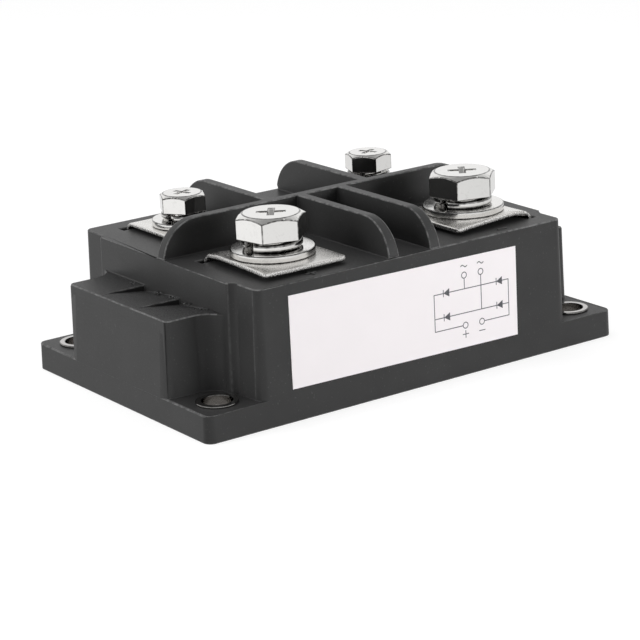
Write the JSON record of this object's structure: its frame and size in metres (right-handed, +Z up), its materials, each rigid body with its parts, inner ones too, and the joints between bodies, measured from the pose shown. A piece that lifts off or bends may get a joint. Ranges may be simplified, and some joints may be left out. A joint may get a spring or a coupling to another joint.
{
  "type": "bridge rectifier module",
  "caption": "Moulded bridge rectifier power module on a metal baseplate, with screw terminals parted by moulded fins, a stepped ledge at each end and eyeleted mounting ears.",
  "frame": {"origin": "middle of the underside of the base, at the height of the mounting surface", "axes": "+X along the length over the mounting ears, +Y towards the two AC terminals, +Z up from the mounting surface through the terminals"},
  "size_m": [0.108, 0.07, 0.04],
  "materials": {
    "moulding": "black glass-filled moulding with a fine satin surface",
    "nickel_plate": "nickel-plated",
    "label_film": "white adhesive film",
    "strap_plating": "nickel-plated sheet copper with sheared edges",
    "fastener": "bright nickel-plated steel",
    "insulator": "white alumina",
    "copper": null,
    "molybdenum": "grey molybdenum",
    "silicon": null,
    "soft_gel": "clear silicone gel",
    "potting_resin": "black casting resin"
  },
  "bodies": {
    "root": {"housing": "moulding", "baseplate": "nickel_plate", "label": "label_film", "eyelet_front_left": "nickel_plate", "eyelet_front_right": "nickel_plate", "eyelet_back_left": "nickel_plate", "eyelet_back_right": "nickel_plate", "strap_plus": "strap_plating", "strap_minus": "strap_plating", "strap_ac_left": "strap_plating", "strap_ac_right": "strap_plating", "nut_plus": "fastener", "nut_minus": "fastener", "nut_ac_left": "fastener", "nut_ac_right": "fastener", "flat_washer_plus": "fastener", "flat_washer_minus": "fastener", "flat_washer_ac_left": "fastener", "flat_washer_ac_right": "fastener", "spring_washer_plus": "fastener", "spring_washer_minus": "fastener", "spring_washer_ac_left": "fastener", "spring_washer_ac_right": "fastener", "bolt_plus": "fastener", "bolt_minus": "fastener", "bolt_ac_left": "fastener", "bolt_ac_right": "fastener", "ceramic_plus": "insulator", "ceramic_minus": "insulator", "pad_plus": "copper", "pad_minus": "copper", "lower_disc_1": "molybdenum", "lower_disc_2": "molybdenum", "lower_disc_3": "molybdenum", "lower_disc_4": "molybdenum", "chip_1": "silicon", "chip_2": "silicon", "chip_3": "silicon", "chip_4": "silicon", "upper_disc_1": "molybdenum", "upper_disc_2": "molybdenum", "upper_disc_3": "molybdenum", "upper_disc_4": "molybdenum", "bar_ac_left": "copper", "bar_ac_right": "copper", "gel": "soft_gel", "resin": "potting_resin"}
  },
  "joints": []
}
